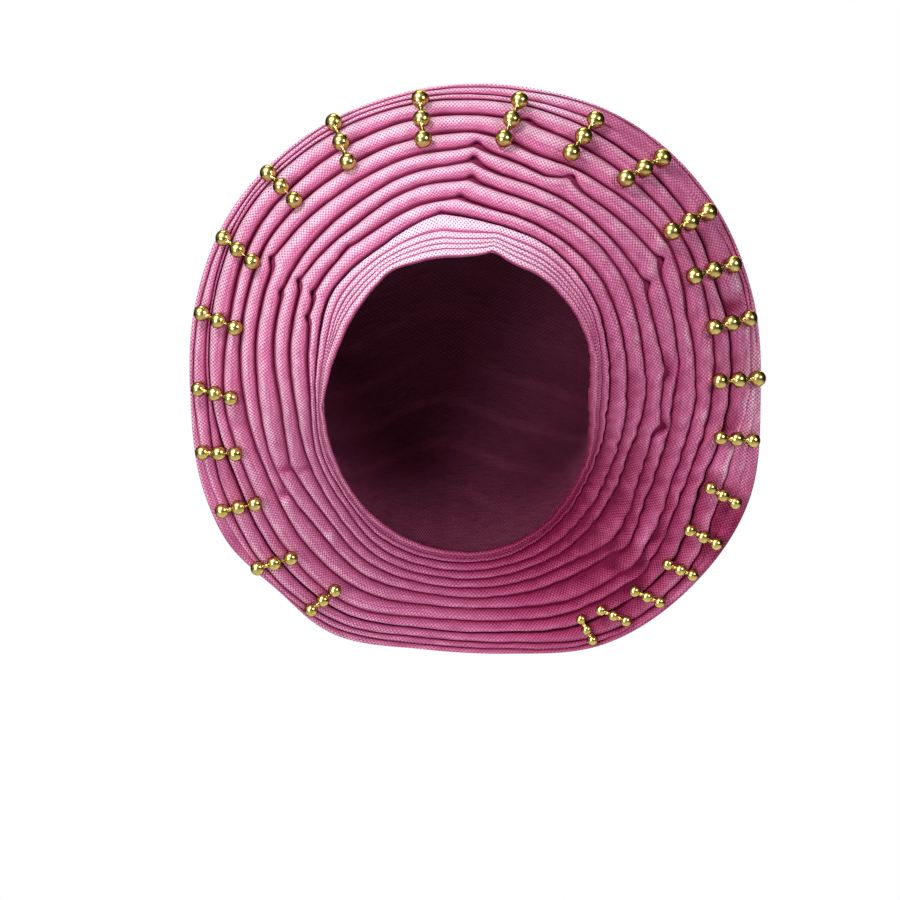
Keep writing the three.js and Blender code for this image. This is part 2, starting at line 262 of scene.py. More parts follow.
# %% Tables of the folds, in millimetres
COLUMNS = 18  # clock angles, from low on the left over the top to low on the right
CLOCK_START, CLOCK_STEP = -170.0, 360.0 / COLUMNS  # degrees
FOLDS = {
    "face_edge": [79, 77.5, 75.5, 73.5, 71.5, 69.8, 71, 73.8, 73,
                  74.3, 73, 71, 67.5, 63.4, 67.6, 72.3, 77, 79],
    "band_edge": [84.8, 84, 80, 78.3, 76.2, 79.3, 86.5, 87.8, 92.6,
                  89.6, 87.7, 83, 76.9, 73.3, 73.5, 77.5, 82, 84.8],
    "pleat_1": [89, 88.5, 83, 81.2, 78.8, 84, 93.5, 96.5, 100.4,
                96.5, 94.2, 91, 85.5, 82.2, 82.6, 85.5, 88.5, 89.3],
    "pleat_2": [93.3, 93.3, 88.2, 86.3, 86.9, 93.8, 102.2, 104.9, 110.4,
                106.3, 104.4, 101.7, 94.6, 91.6, 88.9, 91.8, 94, 93.8],
    "pleat_3": [98, 98.6, 94, 95, 94.2, 102.8, 109.8, 113.1, 118.4,
                114.5, 112.1, 108.5, 103.1, 100.2, 97.7, 103.8, 100.8, 98.7],
    "pleat_4": [103, 105, 101.5, 104, 105.2, 112.2, 120, 122.9, 126.6,
                123.3, 120.6, 119.6, 112.7, 106.7, 105.2, 111, 107.2, 104.3],
    "pleat_5": [109, 113, 111.2, 108.7, 113, 120.6, 129, 132, 135.6,
                133, 130, 130, 121.9, 117.7, 114.4, 121, 118.3, 110.5],
    "pleat_6": [115.5, 122.7, 121, 118.7, 123.5, 127.5, 137.4, 142, 145.5,
                144.5, 141.2, 139, 132.6, 126, 121.5, 127, 125, 117.5],
    "pleat_7": [121.5, 128, 127.2, 125, 130.2, 138, 147.8, 152.3, 154,
                154, 151.5, 148, 141.5, 135.5, 130.2, 137, 137, 124],
    "border_1": [126.5, 133.8, 135.5, 133.5, 132.5, 139.3, 149.8, 154.3, 156.8,
                 156.8, 158, 157.3, 153.8, 144.6, 141, 146.3, 142, 129],
    "border_2": [130, 137, 138.5, 139, 139.5, 145, 152, 157.3, 159.5,
                 161.5, 165, 162, 155.8, 150.3, 148.5, 149.8, 145, 132.5],
    "rim": [133, 141, 141.5, 143.5, 142, 148, 155.5, 159, 161.5,
            164, 166.5, 164, 158, 153, 156.5, 153, 147.5, 135.5],
}
SECTIONS = {
    "face_depth": [76, 62, 33, -2, -38, -58, -71, -79, -83, -83, -79, -71, -58, -38, -2, 33, 62, 76],
    "rim_depth": [88, 68, 42, 20, 4, -5, -10, -14, -16, -16, -14, -10, -5, 4, 20, 42, 68, 88],
    "crown_swell": [57, 62, 70, 77, 80, 85.5, 90, 93, 95, 95, 93, 88.5, 83.5, 76, 73, 69, 62, 57],
}
FOLD_NAMES = list(FOLDS)
print("folds:", len(FOLDS), "at", COLUMNS, "clock angles")


# %% Between the columns
def row_at(row, angle):
    """Value of a table row at clock angles: a Catmull-Rom cubic through its columns, closed on itself."""
    place = (np.asarray(angle, float) - CLOCK_START) / CLOCK_STEP
    first = np.floor(place).astype(int)
    t = place - first
    values = np.asarray(row, float)
    a, b, c, d = (values[(first + k) % len(values)] for k in (-1, 0, 1, 2))
    return b + 0.5 * t * (c - a + t * (2 * a - 5 * b + 4 * c - d + t * (3 * (b - c) + d - a)))


print("rim straight up:", round(float(row_at(FOLDS["rim"], 0.0)), 1), "mm from the face centre")

# %% [markdown]
# ## Kinks, bends and dents
# A hand-laid fold isn't an even curve. Here and there a crest is pushed out to a point or sags, and the
# pleat before it is pinched or pressed in. They could be sculpted. As a list of places with a size, they
# stay easy to read and to move. A slow waver of sines does the rest.

# %% Kinks, bends and dents
# A kink is pointed and a bend is round. Each has its clock angle, the shift of the crest in mm, and the half
# width in degrees before and after that angle.
KINK_POWER, BEND_POWER = 1.2, 2.0
KINKS = {
    "face_edge": [(10.3, 1.8, 1.8, 4.0), (-93, 1.6, 4, 4)],
    "band_edge": [(-8, 1.8, 7, 5)],
    "pleat_1": [(-2, 2.2, 6, 4), (-37, 1.2, 4, 3), (-54.5, 1.8, 0.9, 5), (-62, 1.6, 0.9, 4)],
    "pleat_2": [(1, 3.0, 5, 4), (-54, 2.4, 0.9, 6)],
    "pleat_3": [(1.5, 4.4, 5, 4), (57, 2.4, 5, 1.6), (82, 1.6, 4, 2.5), (97, 3.0, 3, 1.4),
                (-59, 1.2, 0.8, 4), (-110, 1.0, 2, 2)],
    "pleat_4": [(2, 4.0, 5, 4), (25, 3.6, 2.2, 2.4), (54, 2.8, 5, 1.6), (-53.5, 2.8, 0.9, 6)],
    "pleat_6": [(12, 1.6, 6, 2)],
}
BENDS = {
    "face_edge": [(2, -1.6, 9, 6), (20, -1.4, 5, 7), (-31, 1.0, 6, 6)],
    "pleat_3": [(134, 1.6, 6, 4)],
    "pleat_4": [(19, -1.8, 5, 3), (80, 1.4, 5, 5), (120, -1.4, 6, 5), (132, 2.4, 4, 3)],
    "pleat_5": [(2, 1.8, 6, 6), (16, -2.2, 6, 7), (51, 1.0, 6, 5), (69, -1.2, 5, 5), (134, 2.2, 5, 3)],
    "pleat_6": [(135, 1.8, 4, 3)],
    "pleat_7": [(65, -1.6, 6, 6), (148, -4.5, 13, 14)],
    "border_1": [(88, 2.0, 6, 6)],
    "rim": [(-137, -2.2, 8, 7), (-121, 1.6, 6, 8)],
}
# Clock angle, half width in degrees, and how far a pleat's belly is lifted (+) or pressed in (-), in mm.
DENTS = {
    "pleat_2": [(103, 1.6, 1.0), (84, 2.4, -1.0)],
    "pleat_3": [(124, 2.5, -1.4), (-113, 1.1, -2.0)],
    "pleat_4": [(55, 1.6, 0.9), (82, 2.6, -1.6), (97, 2.2, -2.4), (136, 2.0, -1.6),
                (-111, 1.1, -2.6), (-135, 1.6, 1.5)],
    "pleat_5": [(51.5, 1.8, 1.3), (128, 3.5, 1.8), (138, 2.2, -1.8), (-117, 1.1, -2.2), (-120, 1.4, 1.2)],
    "pleat_6": [(114, 2.0, 1.0), (125, 3.0, -2.0), (133.5, 2.5, -2.4), (-96, 2.0, -0.8)],
    "pleat_7": [(139, 3.0, -1.6)],
    "border_1": [(71, 1.7, -3.2), (67, 2.0, 1.0), (104, 4, 1.4), (95, 3.0, -1.6)],
}
kinks, bends, dents = (sum(map(len, marks.values())) for marks in (KINKS, BENDS, DENTS))
print(f"{kinks} kinks, {bends} bends and {dents} dents")


# %% Bells and wavers
def turn_from(angle, start):
    """Degrees from start to angle, between -180 and 180."""
    return (angle - start + 180) % 360 - 180


def bell(angle, at, width, power=2):
    """A bell round a clock angle: e to the minus (degrees off / width) ^ power."""
    return np.exp(-(turn_from(angle, at) / width) ** power)


def waver(angle, seed):
    """A sum of four sines, each with a whole number of waves, so that it closes; it stays in -1 to 1."""
    a = np.radians(angle)
    return (np.sin(7 * a + 1.3 * seed) + 0.8 * np.sin(13 * a + 2.1 * seed)
            + 0.7 * np.sin(23 * a + 3.7 * seed) + 0.5 * np.sin(41 * a + 5.3 * seed)) / 3


def restless(angle):
    """How unsettled the cloth lies: 1 low on the right, where it is crumpled, and 0.35 far from there."""
    return 0.35 + 0.65 * bell(angle, 112, 42)


print("unsettled over the brow:", round(float(restless(0.0)), 2))

# %% Crests and bellies
WAVER, CRINKLE, BELLY_WAVER = 0.9, 0.22, 1.1  # mm, of a crest, of a crumpled crest and of a belly
WRINKLE_LEAST, WRINKLE_MORE = 0.06, 0.26  # mm, of the small aslant wrinkles
NOTCH_PAST, NOTCH_WIDTH = 0.7, 1.2  # degrees


def fold_radius(name, angle):
    """Radius of a crest: the table's cubic, its kinks and bends, bells with two half widths, and a waver."""
    radius = row_at(FOLDS[name], angle)
    for power, marks in ((KINK_POWER, KINKS), (BEND_POWER, BENDS)):
        for at, rise, before, after in marks.get(name, []):
            off = turn_from(angle, at)
            width = np.where(off < 0, before, after)
            radius = radius + rise * np.exp(-(np.abs(off) / width) ** power)
    if name == "rim":
        return radius
    a, k, rest = np.radians(angle), FOLD_NAMES.index(name), restless(angle)
    crinkle = np.sin(61 * a + 2.3 * k) + np.sin(83 * a + 4.1 * k)
    return radius + WAVER * rest * waver(angle, k) + CRINKLE * rest ** 2 * crinkle


def notch(name, angle):
    """How far the next pleat stands off beside a kink, in mm: a narrow bell just past the kink's point."""
    open_by = np.zeros_like(angle)
    for at, rise, _, _ in KINKS.get(name, []):
        past = NOTCH_PAST if at > -25 else -NOTCH_PAST
        share = 1.0 if at > 40 else 0.6
        open_by = open_by + share * rise * bell(angle, at + past, NOTCH_WIDTH)
    return open_by


def belly(name, angle):
    """How far a pleat's belly stands towards the viewer, in mm: its dents, each a bell, and a waver."""
    lift = BELLY_WAVER * restless(angle) * waver(angle, 20 + 3 * FOLD_NAMES.index(name))
    for at, width, height in DENTS.get(name, []):
        lift = lift + height * bell(angle, at, width)
    return lift


def rumpled(name, angle, across):
    """The belly's lift over the whole pleat, with wrinkles aslant: sines of the angle and the way across."""
    a, k = np.radians(angle), FOLD_NAMES.index(name)
    aslant = (np.sin(53 * a + 4.1 * across + k) + np.sin(71 * a - 5.3 * across + 2 * k)
              + 0.8 * np.sin(97 * a + 7.7 * across + 3 * k))
    return belly(name, angle) + (WRINKLE_LEAST + WRINKLE_MORE * restless(angle) ** 2) * aslant


print("deepest dent:", min(height for marks in DENTS.values() for _, _, height in marks), "mm")

# %% [markdown]
# ## From the clock to space
# The crests lie on one smooth surface, like the mouth of a trumpet that slopes back to the nape. Each fold
# could have a depth table of its own. Two depths at each angle, at the face and at the rim, and a swell
# between them are enough, because the tables of the radius already carry the detail.

# %% Places in space
FAN_BULGE, NAPE_BULGE = 8.0, 1.0  # mm, the swell between face and rim, at the top and at the nape


def crest_depth(angle, radius):
    """Depth of the surface under the crests: a straight slope from face to rim, less a parabola's swell."""
    inner, outer = row_at(FOLDS["face_edge"], angle), row_at(FOLDS["rim"], angle)
    t = (radius - inner) / (outer - inner)
    front, back = row_at(SECTIONS["face_depth"], angle), row_at(SECTIONS["rim_depth"], angle)
    share = 0.5 + 0.5 * np.cos(np.radians(angle))
    bulge = NAPE_BULGE + (FAN_BULGE - NAPE_BULGE) * share
    return front + (back - front) * t - 4 * bulge * t * (1 - t)


def to_space(angle, radius, depth):
    """Points in metres from clock angle, radius about the face centre and depth, in arrays of one shape."""
    a = np.radians(angle)
    xyz = np.stack([radius * np.sin(a), depth, radius * np.cos(a) + FACE_CENTRE[2]], axis=-1)
    return xyz * MM


print("depth of the brow edge:", round(float(crest_depth(0.0, row_at(FOLDS["face_edge"], 0.0))), 1), "mm")

# %% [markdown]
# ## One pleat
# A pleat is a tube of cloth, open at the back: it comes up out of a deep crease at its inner side, bellies
# forward and turns down over the next crease. A cloth simulation could fold it, but not at these places.
# Its section is drawn instead: two quarters of a superellipse, deep on the inside and shallow on the
# outside, and a short leg that runs down into the next crease.
#
# A second value, the tone, goes with every point, and the material paints light and shade from it: 0 on
# the belly, above 0 near the outer edge, where handling wears the cloth and a highlight is painted, -1 deep
# in a crease, painted shade, and lower still where that lies in deeper painted shade.

# %% The section of one pleat
APEX = 0.66  # where the belly stands highest, per width
ROUND_POWER, FLAT_MORE = 2.0, 1.45  # the superellipse's power, and how much it grows as a pleat flattens
# Wear and a painted highlight near the edge, where the cloth is rubbed and catches the light:
RUBBED_AND_LIT_AT, RUBBED_AND_LIT_WIDTH = 0.82, 0.17  # where the cloth is rubbed, and how widely, per width
# Painted shade on a flat pleat's inner side and in an open crease, painted light on a dented belly:
LEAN, LEAN_END = 0.9, 0.6  # tone that a flat pleat's inner side loses per width, and where that ends
LIFT_TONE = 0.25  # tone per mm that a belly is lifted
OPEN_FROM, OPEN_TONE = 0.6, 0.6  # mm from which a crease is open, and the tone its edge then loses per mm


def plump(angle):
    """How round a pleat stands: 1 over the brow and the upper left, 0.45 low on the right."""
    return 0.45 + 0.55 * bell(angle, -25, 72)


def pleat_rows(root, crest, deep, edge, wear_and_highlight, lift, after, after_deep, steps, round_by):
    """Rows of one pleat: radius, drop behind the crests, distance along the cloth from the edge, and tone.

    With f from 0 to pi, c = |cos f|^(2/n) and s = sin(f)^(2/n): x = A (1 - c) before the apex A and
    A + (1 - A) c after it, and drop = depth (1 - s) - lift s, where depth is the crease's on the inside and
    the edge's outside. The power n is 2 for a round pleat, an ellipse, and grows to 2.8 for a flat one.
    The tone paints light and shade. It falls with 1 - s into painted crease shade, a bell as high as the
    wear and painted highlight lies near the edge, a flat pleat's inner side gets painted shade, and an open
    crease is painted dark from its edge on.
    """
    f = np.linspace(0, math.pi, steps)[:, None]
    n = ROUND_POWER + FLAT_MORE * (1 - round_by)
    c, s = np.abs(np.cos(f)) ** (2 / n), np.clip(np.sin(f), 0, 1) ** (2 / n)
    inside = f < math.pi / 2
    x = np.where(inside, APEX * (1 - c), APEX + (1 - APEX) * c)
    radius = np.concatenate([root + (crest - root) * x, after[None]])
    drop = np.concatenate([np.where(inside, deep, edge) * (1 - s) - lift * s, after_deep[None]])
    # Tone: wear and a painted highlight near the edge, painted shade in the crease.
    rubbed_and_lit = wear_and_highlight * np.exp(-((x - RUBBED_AND_LIT_AT) / RUBBED_AND_LIT_WIDTH) ** 2)
    leaning = LEAN * (1 - round_by) * np.clip(LEAN_END - x, 0, 1)
    sunk = np.where(inside, -(1 - s) ** (1.0 - 0.5 * round_by ** 0.6), -0.5 * (1 - s) ** 3)
    tone = sunk + (rubbed_and_lit - leaning) + LIFT_TONE * lift * s
    tone = np.concatenate([np.broadcast_to(tone, radius[:-1].shape), np.full((1, radius.shape[1]), -1.0)])
    tone[steps - 1] -= OPEN_TONE * np.clip(after - crest - OPEN_FROM, 0, 1)
    step = np.hypot(np.diff(radius, axis=0), np.diff(drop, axis=0))
    along = np.concatenate([np.zeros((1, radius.shape[1])), np.cumsum(step, axis=0)])
    return radius, drop, along - along[steps - 1], tone


print("a pleat is as round as", round(float(plump(120.0)), 2), "low on the right")

# %% [markdown]
# ## Where the cloth is pale and where it is deep
# The same cloth looks pale over the brow, where it faces the light, and deep pink low on the right, where
# the folds lie in each other's shade. Light alone could give this only in part, since the deep side faces
# the viewer just as the pale side does. So the tone drifts round the clock: a painted highlight over the
# brow and painted shade low on the right.

# %% Drift of the tone
def edge_wear_and_highlight(angle):
    """Edge wear and painted highlight: 0.2 over the brow, more low down, less at the upper right."""
    return (0.2 + 0.14 * (1 - plump(angle))) * (1 - 0.6 * bell(angle, 52, 26))


def shade(angle, out):
    """The tone's drift: a bell of the clock angle for the paler brow, and one for the deep lower right.

    The second is deepest near the face and fades outwards, with out from 0 at the face to 1 at the rim.
    """
    # The drift paints a highlight over the brow and shade low on the right.
    off = turn_from(angle, -18)
    pale = 0.42 * np.exp(-(off / np.where(off > 0, 52, 70)) ** 2)
    return pale - (1.3 - 0.55 * out) * bell(angle, 142, 46 - 12 * out)


print("drift:", ", ".join(f"{float(shade(at, 0.5)):.2f} at {at:.0f} degrees" for at in (-18.0, 142.0)))

# %% [markdown]
# ## Pleats side by side
# On the real cloth one pleat ends where the next begins. Separate pleats could be joined afterwards, vertex
# by vertex. Here each one is given the root of the next, so that their rows follow on in one grid. A tuck
# at the start runs under the piece before, and no gap opens between two pieces.


# %% Pleats side by side
def pleated(angle, names, crests, roots, deeps, edges, wears_and_highlights, start, end, steps):
    """Radius, drop, both cloth coordinates and tone of pleats side by side, with a tuck before the first.

    The cloth's coordinates come as the way across the pleats and the length along a pleat's own crest. The
    drift is added to the tone, but to a crease only where it darkens.
    """
    rows = []
    face, rim = row_at(FOLDS["face_edge"], angle), row_at(FOLDS["rim"], angle)
    darkest = -1.6 + 0.88 * bell(angle, -95, 40, 4)  # the creases on the left are open to the light
    for k, crest in enumerate(crests):
        after, after_deep = (roots[k + 1], deeps[k + 1]) if k + 1 < len(crests) else end
        lift = rumpled(names[k], angle, np.linspace(0, 1, steps)[:, None]) if names[k] else 0.0
        r, d, v, tone = pleat_rows(roots[k], crest, deeps[k], edges[k], wears_and_highlights[k], lift, after, after_deep,
                                   steps, plump(angle))
        line = to_space(angle, crest, crest_depth(angle, crest))
        length = np.linalg.norm(np.diff(line, axis=0, append=line[:1]), axis=-1)
        u = np.concatenate([[0], np.cumsum(length)[:-1]])
        u = np.broadcast_to(u - u[len(u) // 2], r.shape)
        keep = slice(None) if k + 1 == len(crests) else slice(-1)
        # The drift is painted light: a highlight over the brow, shade low on the right.
        drift = shade(angle, np.clip((crest - face) / (rim - face), 0, 1))
        tone = np.maximum(tone, darkest)
        tone = tone + np.where(tone > -0.6, drift, np.minimum(drift, 0))
        rows.append((r[keep], d[keep], v[keep] * MM, u[keep], tone[keep]))
    first = [part[:1] for part in rows[0]]
    tuck = np.hypot(start[0] - first[0], start[1] - first[1]) * MM
    rows.insert(0, (start[0][None], start[1][None], first[2] - tuck, first[3], first[4]))
    return [np.concatenate(part) for part in zip(*rows)]


# %% [markdown]
# ## From a grid to a cloth piece
# A surface that is a function of two parameters is a grid of points. Blender's own grid could be bent to
# it. It is as short to join the points into quads here, and then the seam, the poles and the cloth's own
# coordinates, the UV map, are known as well. Another function gives the sheet its thickness and material,
# and hides the solid it stands for.

# %% Grid to mesh
def grid_mesh(name, points, uv, tone=None, poles=(None, None), seam=True):
    """A mesh from rings of points: quads between two rings, and triangles from an end ring to its pole.

    With a seam, the quads that close a ring run on in the first coordinate, instead of back to the start,
    and a pole takes the mean of each of its triangles. Without a seam it takes the mean of its ring.
    """
    rings, columns = points.shape[:2]
    index = np.arange(rings * columns).reshape(rings, columns)
    right = np.roll(index, -1, axis=1)
    ahead = np.roll(uv, -1, axis=1)
    if seam:
        ahead[:, -1, 0] = 2 * uv[:, -1, 0] - uv[:, -2, 0]
    quads = np.stack([index[:-1], right[:-1], right[1:], index[1:]], axis=-1).reshape(-1, 4)
    faces, vertices = quads.tolist(), points.reshape(-1, 3)
    corners = [np.stack([uv[:-1], ahead[:-1], ahead[1:], uv[1:]], axis=2).reshape(-1, 2)]
    for pole, ring in zip(poles, (0, -1)):
        if pole is not None:
            ends = [(index[ring], uv[ring]), (right[ring], ahead[ring])]
            (one, one_uv), (two, two_uv) = ends if ring else ends[::-1]
            faces += np.stack([one, two, np.full(columns, len(vertices))], axis=-1).tolist()
            tip = (one_uv + two_uv) / 2 if seam else np.broadcast_to(uv[ring].mean(axis=0), one_uv.shape)
            corners.append(np.stack([one_uv, two_uv, tip], axis=1).reshape(-1, 2))
            vertices = np.concatenate([vertices, [pole]])
    mesh = bpy.data.meshes.new(name)
    mesh.from_pydata(vertices, [], faces)
    layer = mesh.uv_layers.new(name="cloth")
    layer.data.foreach_set("uv", np.concatenate(corners).astype(np.float32).ravel())
    if tone is not None:
        values = np.zeros(len(vertices), np.float32)
        values[:tone.size] = tone.ravel()
        mesh.attributes.new("tone", "FLOAT", "POINT").data.foreach_set("value", values)
    mesh.polygons.foreach_set("use_smooth", np.ones(len(faces), bool))
    mesh.update()
    piece = bpy.data.objects.new(name, mesh)
    bpy.context.collection.objects.link(piece)
    return piece


# %% Mesh to cloth
def cloth_piece(piece, node, flat, thick, inside=None):
    """Finishes a sheet: thickness behind it, material, hides its node, prints the size it was cut to."""
    area = np.empty(len(piece.data.polygons))
    piece.data.polygons.foreach_get("area", area)
    wall = piece.modifiers.new("cloth thickness", "SOLIDIFY")
    wall.thickness = thick * MM
    wall.offset = -1.0
    wall.material_offset = 1
    piece.data.materials.append(pink_cloth)
    piece.data.materials.append(inside or pink_reverse)
    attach(piece, "root")
    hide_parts(node)
    print(f"{piece.name}: {len(area)} faces, area {area.sum():.4f} m2, flat {flat[0] * flat[1]:.4f} m2")


def folded_sheet(node, angle, rows, flat, thick):
    """A ring of pleats as a cloth piece: each row lies behind the surface of the crests by its drop."""
    r, drop, v, u, tone = rows
    points = to_space(np.broadcast_to(angle, r.shape), r, crest_depth(angle, r) + drop)
    piece = grid_mesh(node + "_cloth", points, np.stack([u, v], axis=-1), tone)
    cloth_piece(piece, node, flat, thick)


# %% [markdown]
# ## The weave
# The cloth is a plain weave of stiffened, slightly glossy thread. The eye sees a pale dash where a thread
# comes to the top and a dark dot where it dips, in staggered rows. A picture of cloth could be laid on it.
# Two sines and three noises can be drawn at any size, and follow the piece's own UV map, which is measured
# in metres along and across the cloth. A thread every 0.5 mm would not show in the picture, so it is drawn
# coarser.

# %% The pattern of the weave
THREAD_ALONG, THREAD_ACROSS = 2.0, 2.1  # mm, the weave's two periods, about four real threads each
SLUB_LONG, SLUB_THIN = 12.0, 0.9  # mm, length and width of the thicker stretches of a thread
STRAY_SIZE, STRAY_BY = 7.0, 5.0  # mm over which the threads stray, and how far, in radians of the sine


def weave_pattern(tree):
    """A plain weave: the product of a sine along and a sine across is high on a raised thread, low in a gap.

    A noise shifts both sines, so that the threads stray from a straight line. Two stretched noises stand for
    the slubs of the threads along and across.
    """
    where = add(tree, "UVMap", uv_map="cloth")
    drift = add(tree, "TexNoise", [("Vector", where), ("Scale", 1 / (STRAY_SIZE * MM)), ("Detail", 2.0)])
    split = add(tree, "SeparateXYZ", [(0, where)])
    stray = add(tree, "SeparateXYZ", [(0, drift.outputs["Color"])])
    waves = []
    for way, period in ((0, THREAD_ALONG), (1, THREAD_ACROSS)):
        off = times(tree, stray.outputs[way], STRAY_BY)
        turns = [(0, split.outputs[way]), (1, TURN / (period * MM)), (2, off)]
        phase = add(tree, "Math", turns, operation="MULTIPLY_ADD")
        waves.append(add(tree, "Math", [(0, phase)], operation="SINE"))
    cross = times(tree, *waves)
    slubs = []
    for size in ((SLUB_LONG, SLUB_THIN), (SLUB_THIN, SLUB_LONG)):
        scale = (1 / (size[0] * MM), 1 / (size[1] * MM), 1.0)
        stretch = add(tree, "Mapping", [("Vector", where), ("Scale", scale)])
        slubs.append(add(tree, "TexNoise", [("Vector", stretch), ("Scale", 1.0), ("Detail", 2.0)]))
    return cross, slubs


# %% Dashes and dots
# Ranges, each from low and high to low and high: what counts as raised and as sunk in the weave's product,
# and how the dashes and the dots fade with the slubs, and with the tone into its painted shade.
RAISED, DASH_BY_SLUB, DASH_BY_TONE = (-0.25, 0.5, 0.0, 1.0), (0.35, 0.62, 0.2, 1.0), (-0.6, 0.35, 0.2, 0.95)
SUNK, DOT_BY_SLUB, DOT_BY_TONE = (-0.2, -0.7, 0.0, 1.0), (0.3, 0.55, 0.4, 1.0), (0.0, 0.6, 0.35, 1.0)
# Painted crease shade lets only a share of the raised threads show:
DIM = 0.45  # how much of the raised threads still shows in a crease


def dashes_and_dots(tree, cross, slubs, tone):
    """Shares of dim thread, of dash and of dot: soft steps of the product, faded by slubs and tone."""
    raised, sunk = (ranged(tree, cross, limits, **SOFT) for limits in (RAISED, SUNK))
    dashes, dots = raised, sunk
    for source, limits in ((slubs[0], DASH_BY_SLUB), (tone, DASH_BY_TONE)):
        dashes = times(tree, dashes, ranged(tree, source, limits))
    for source, limits in ((slubs[1], DOT_BY_SLUB), (tone, DOT_BY_TONE)):
        dots = times(tree, dots, ranged(tree, source, limits))
    return times(tree, raised, DIM), dashes, dots


# %% [markdown]
# ## The pink cloth
# Stiffened cotton with a satin thread has a soft gloss: a roughness of 0.5, where plain cotton has 0.8 or
# more, and a pink glint, because light is coloured as it passes between the threads. The colour could come
# from one ramp. It is laid in layers here, as the eye tells them apart: ground, wear with a painted
# highlight, dashes, dots, painted crease shade, and deeper painted shade at the bottom. The back of the
# cloth is the same weave in other colours, and so is the inside of the crown, painted dark as shade.

# %% Woven pink cloth
# Ranges of the tone, each from low and high to low and high: wear with a painted highlight, painted
# crease shade, and deeper painted shade.
WORN_AND_LIT, DEEP, NIGHT = (0.1, 0.75, 0.0, 0.95), (-0.1, -0.9, 0.0, 0.94), (-0.85, -1.5, 0.0, 0.9)
# Colours of wear with a painted highlight, and of the deepest painted shade.
WORN_AND_LIT_GROUND, WORN_AND_LIT_THREAD, DARKEST = "#eec0da", "#ffeff6", "#5e0129"
WEAVE_HEIGHT = 0.4  # mm
GLOSS = [("Roughness", 0.5), ("Specular IOR Level", 0.18), ("Specular Tint", "#ffa4ce"),
         ("Sheen Weight", 0.03), ("Sheen Roughness", 0.4), ("Sheen Tint", "#ff9fcd")]


def woven_cloth(name, ground_dark, ground_light, dash, dot, crease_shade, side):
    """The weave in colours. The tone is taken times side: a crease of the face is a ridge of the reverse."""
    material, tree = new_material(name)
    cross, slubs = weave_pattern(tree)
    given = add(tree, "Attribute", attribute_name="tone", attribute_type="GEOMETRY")
    tone = times(tree, given.outputs["Fac"], side)
    dim, dashes, dots = dashes_and_dots(tree, cross, slubs, tone)
    # The tone paints light: wear and a highlight where it is high, crease shade and deeper shade where low.
    worn_and_lit, deep, night = (ranged(tree, tone, limits) for limits in (WORN_AND_LIT, DEEP, NIGHT))
    thread = mixed(tree, worn_and_lit, dash, WORN_AND_LIT_THREAD)
    furrow = mixed(tree, dim, crease_shade, ground_light)
    colour = ground_dark
    for share, over in ((slubs[0], ground_light), (worn_and_lit, WORN_AND_LIT_GROUND), (dashes, thread), (dots, dot),
                        (deep, furrow), (night, DARKEST)):
        colour = mixed(tree, share, colour, over)
    relief = add(tree, "Bump", [("Strength", 0.35), ("Distance", WEAVE_HEIGHT * MM), ("Height", cross)])
    skin = add(tree, "BsdfPrincipled", [("Base Color", colour), ("Normal", relief), *GLOSS])
    add(tree, "OutputMaterial", [("Surface", skin)])
    print(f"{name}: {len(tree.nodes)} nodes")
    return material


# The fifth colour of each cloth is its painted crease shade.
pink_cloth = woven_cloth(
    "stiff_woven_pink_cloth", "#9b3c6b", "#c26691", "#f2abcb", "#70143f", "#7a0638", 1.0)
pink_reverse = woven_cloth(
    "reverse_of_the_pink_cloth", "#86265a", "#a44a78", "#cf8fb0", "#5c1038", "#4a0828", -0.3)
# The inside of the crown is painted dark, as painted shade.
shaded_inside_of_the_crown = woven_cloth(
    "painted_shade_inside_the_crown", "#4a1428", "#5a2138", "#6c3a4e", "#380c1c", "#2a0416", 0.0)

# %% [markdown]
# ## The wide pleats
# Seven wide pleats make the fan. They are one length of cloth, folded like an accordion and held in a ring.
# They could be seven separate tubes, but then light would leak between them. One sheet with a crease
# between each pleat and the next has the shadows of the real thing.

# %% Pleat fan
AROUND = 540  # columns round the face
FAN_STEPS = 11  # rows across a pleat
FOLD_DEPTH, EDGE_SHARE = 8.5, 0.5  # mm at most, and the outer edge's share of it
FIRST_SHARE = 0.55  # of the depth, for the first crease, behind the face band
CREASE_OPEN, CREASE_LAG = 0.5, 1.2  # mm that a crease stands open, and degrees that it lags behind a kink
LEAST_PITCH, MOST_LAG = 1.5, 1.2  # mm
FAN_CUT, FAN_THICK = (0.72, 0.125), 0.5  # the flat size in metres, and mm
PLEATS = [f"pleat_{k}" for k in range(1, 8)]
BEFORE = ["band_edge"] + PLEATS[:-1]
angle = np.linspace(-180, 180, AROUND, endpoint=False)
# Wear and a painted highlight along the pleats' edges.
wear_and_highlight = edge_wear_and_highlight(angle)
crests = [fold_radius(name, angle) for name in PLEATS]
inner = [fold_radius(name, angle) for name in BEFORE]
lag = CREASE_LAG * np.clip((angle + 25) / 15, -1, 1) * np.clip((180 - np.abs(angle)) / 30, 0, 1)
lagged = [fold_radius(name, angle - lag) for name in BEFORE]
opens = [notch(name, angle) + CREASE_OPEN for name in BEFORE]
roots = [np.clip(late, now, now + MOST_LAG) + wide for now, late, wide in zip(inner, lagged, opens)]
pitches = [np.maximum(crest - start, LEAST_PITCH) for crest, start in zip(crests, inner)]
deeps = [np.minimum(FOLD_DEPTH, pitch) * plump(angle) ** 1.6 for pitch in pitches]
deeps[0] = FIRST_SHARE * deeps[0]
edges = [EDGE_SHARE * deep for deep in deeps]
tuck = (inner[0] - 3.0, deeps[0] + 2.0)
end = (crests[-1] + 0.1, np.maximum(edges[-1] + 1.4, 6.5))  # it runs down behind the border
rows = pleated(angle, PLEATS, crests, roots, deeps, edges, [wear_and_highlight] * len(PLEATS), tuck, end, FAN_STEPS)
folded_sheet("pleat_fan", angle, rows, FAN_CUT, FAN_THICK)

